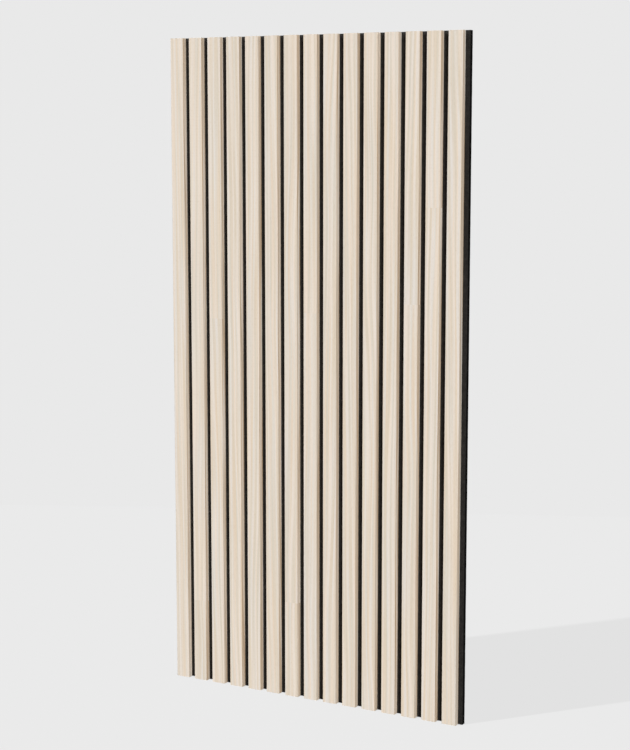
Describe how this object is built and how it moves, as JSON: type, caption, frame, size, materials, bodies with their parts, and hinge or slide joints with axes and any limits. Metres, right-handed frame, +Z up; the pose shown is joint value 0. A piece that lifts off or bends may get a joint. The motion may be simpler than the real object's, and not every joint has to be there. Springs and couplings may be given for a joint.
{
  "type": "acoustic slat wall panel",
  "caption": "Flat acoustic wall panel: narrow upright slats in pale wood veneer, evenly spaced on a dark felt board that is fixed to a wall to soften echo.",
  "frame": {"origin": "centre of the felt board's back face, which lies against the wall", "axes": "+X to the right across the slats as seen from the room, +Y into the wall, +Z up along the slats"},
  "size_m": [0.6, 0.02, 1.2],
  "materials": {
    "felt": "pressed felt, matte",
    "core_board": "sawn fibreboard",
    "veneer": "pale veneer, matte lacquer"
  },
  "bodies": {
    "root": {"felt_backing": "felt", "slat_core_01": "core_board", "slat_core_02": "core_board", "slat_core_03": "core_board", "slat_core_04": "core_board", "slat_core_05": "core_board", "slat_core_06": "core_board", "slat_core_07": "core_board", "slat_core_08": "core_board", "slat_core_09": "core_board", "slat_core_10": "core_board", "slat_core_11": "core_board", "slat_core_12": "core_board", "slat_core_13": "core_board", "slat_core_14": "core_board", "slat_core_15": "core_board", "slat_veneer_01": "veneer", "slat_veneer_02": "veneer", "slat_veneer_03": "veneer", "slat_veneer_04": "veneer", "slat_veneer_05": "veneer", "slat_veneer_06": "veneer", "slat_veneer_07": "veneer", "slat_veneer_08": "veneer", "slat_veneer_09": "veneer", "slat_veneer_10": "veneer", "slat_veneer_11": "veneer", "slat_veneer_12": "veneer", "slat_veneer_13": "veneer", "slat_veneer_14": "veneer", "slat_veneer_15": "veneer"}
  },
  "joints": []
}
